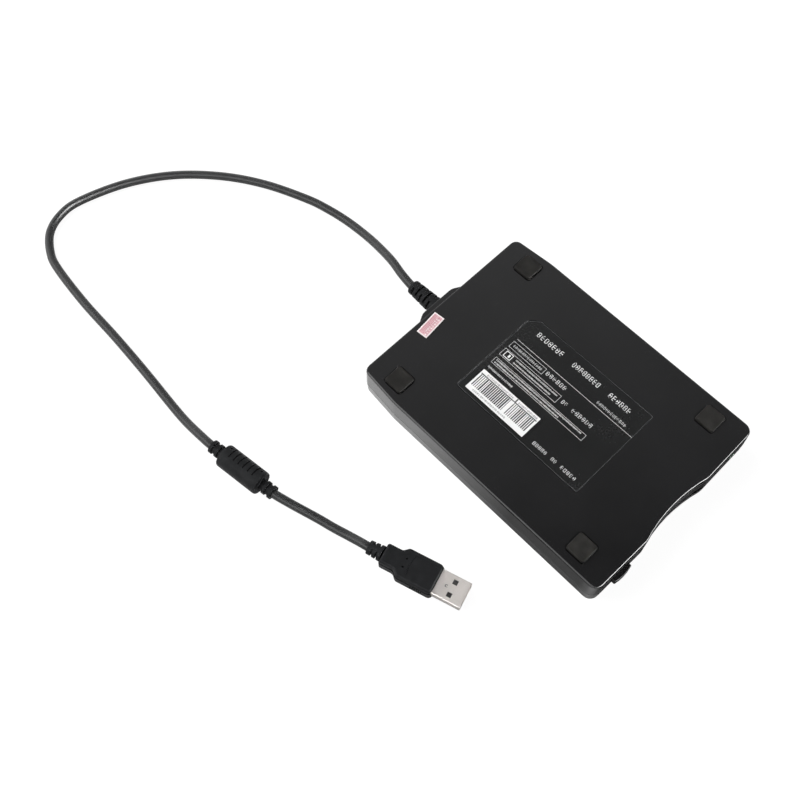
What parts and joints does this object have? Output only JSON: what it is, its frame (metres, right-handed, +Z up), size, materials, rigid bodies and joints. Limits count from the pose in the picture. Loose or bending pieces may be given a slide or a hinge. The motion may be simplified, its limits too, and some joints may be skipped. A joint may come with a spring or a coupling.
{
  "type": "external floppy disk drive",
  "caption": "Slim external floppy disk drive, underside up, with a front slot, eject button, rubber feet, rear strain relief and a fixed USB cable with a ferrite bead.",
  "frame": {"origin": "middle of the case outline, on the plane that the outer face of the top cover lies on", "axes": "+X across the drive, +Y to the rear where the cable leaves, +Z up, towards the underside with its feet; the drive is stored lying on its top cover, as pictured"},
  "size_m": [0.1772, 0.3223, 0.0193],
  "materials": {
    "black_shell": "satin black moulded plastic",
    "black_gloss": "smooth black plastic",
    "rubber": "soft matt rubber",
    "cord_black": "semi-matt cable jacket",
    "label_film": "printed polyester film",
    "white_paper": "matt paper sticker",
    "pink_paper": "matt paper sticker",
    "steel": "zinc plated sheet",
    "plug_steel": "nickel plated, satin",
    "brass": "machined",
    "dark_steel": "varnished laminations",
    "green_board": "solder resist",
    "grey_plastic": "moulded",
    "white_plastic": "moulded",
    "clear_plastic": "clear moulded",
    "amber_film": "polyimide film"
  },
  "bodies": {
    "case": {"bottom_cover": "black_shell", "top_cover": "black_shell", "front_bezel": "black_gloss", "light_pipe": "clear_plastic", "foot_rear_right": "rubber", "foot_rear_left": "rubber", "foot_front_right": "rubber", "foot_front_left": "rubber", "rating_label": "label_film", "white_sticker": "white_paper", "seal_sticker": "pink_paper", "case_screw_1": "steel", "case_screw_2": "steel", "case_screw_3": "steel", "case_screw_4": "steel", "chassis": "steel", "mech_cover": "steel", "latch_pin": "steel", "stator": "dark_steel", "motor_board": "green_board", "spindle_bearing": "brass", "guide_rod_left": "steel", "guide_rod_right": "steel", "stepper_motor": "steel", "screw_bracket": "white_plastic", "drive_board": "green_board", "usb_board": "green_board", "flat_cable": "amber_film", "cable_gland": "cord_black", "cord_main": "cord_black", "cord_tail": "cord_black", "ferrite_bead": "cord_black", "plug_relief": "cord_black", "plug_body": "cord_black", "plug_shell": "plug_steel", "plug_tongue": "white_plastic"},
    "eject": {"eject_button": "black_shell", "eject_plate": "steel"},
    "cage": {"disk_cage": "steel"},
    "flap": {"slot_flap": "black_gloss"},
    "latch": {"latch_lever": "white_plastic"},
    "spindle": {"rotor": "steel", "spindle_hub": "steel"},
    "carriage": {"head_carriage": "grey_plastic", "arm_pin": "steel"},
    "arm": {"head_arm": "white_plastic"},
    "screw": {"lead_screw": "brass"}
  },
  "joints": [
    {"name": "eject_slide", "type": "slide", "parent": "case", "child": "eject", "axis": [0, 1, 0], "range_m": [-0.004, 0.0003], "stiffness_N_per_m": 1500},
    {"name": "cage_lift", "type": "slide", "parent": "case", "child": "cage", "axis": [0, 0, 1], "range_m": [-0.00016, 0.0021]},
    {"name": "latch_turn", "type": "hinge", "parent": "case", "child": "latch", "pos_m": [0.036, 0.038, 0.0078], "axis": [0, 0, 1], "range_deg": [-35, 2.63]},
    {"name": "flap_swing", "type": "hinge", "parent": "case", "child": "flap", "pos_m": [0, -0.06535, 0.0041], "axis": [-1, 0, 0], "range_deg": [0, 85], "stiffness_Nm_per_rad": 0.0005},
    {"name": "spindle_spin", "type": "hinge", "parent": "case", "child": "spindle", "pos_m": [0, -0.015, 0.011], "axis": [0, 0, 1], "continuous": true},
    {"name": "head_travel", "type": "slide", "parent": "case", "child": "carriage", "axis": [0, 1, 0], "range_m": [-0.0152, 0]},
    {"name": "arm_lift", "type": "hinge", "parent": "carriage", "child": "arm", "pos_m": [0, 0.0486, 0.0038], "axis": [1, 0, 0], "range_deg": [-8.9, 0.67]},
    {"name": "screw_turn", "type": "hinge", "parent": "case", "child": "screw", "pos_m": [-0.018, 0.0265, 0.0114], "axis": [0, 1, 0], "range_deg": [-1460, 0]}
  ],
  "couplings": [
    {"joint": "cage_lift", "follows": "eject_slide", "ratio": -0.525},
    {"joint": "latch_turn", "follows": "eject_slide", "rad_per_m": 152.7},
    {"joint": "arm_lift", "follows": "eject_slide", "rad_per_m": 38.8},
    {"joint": "screw_turn", "follows": "head_travel", "rad_per_m": 1675.5}
  ]
}
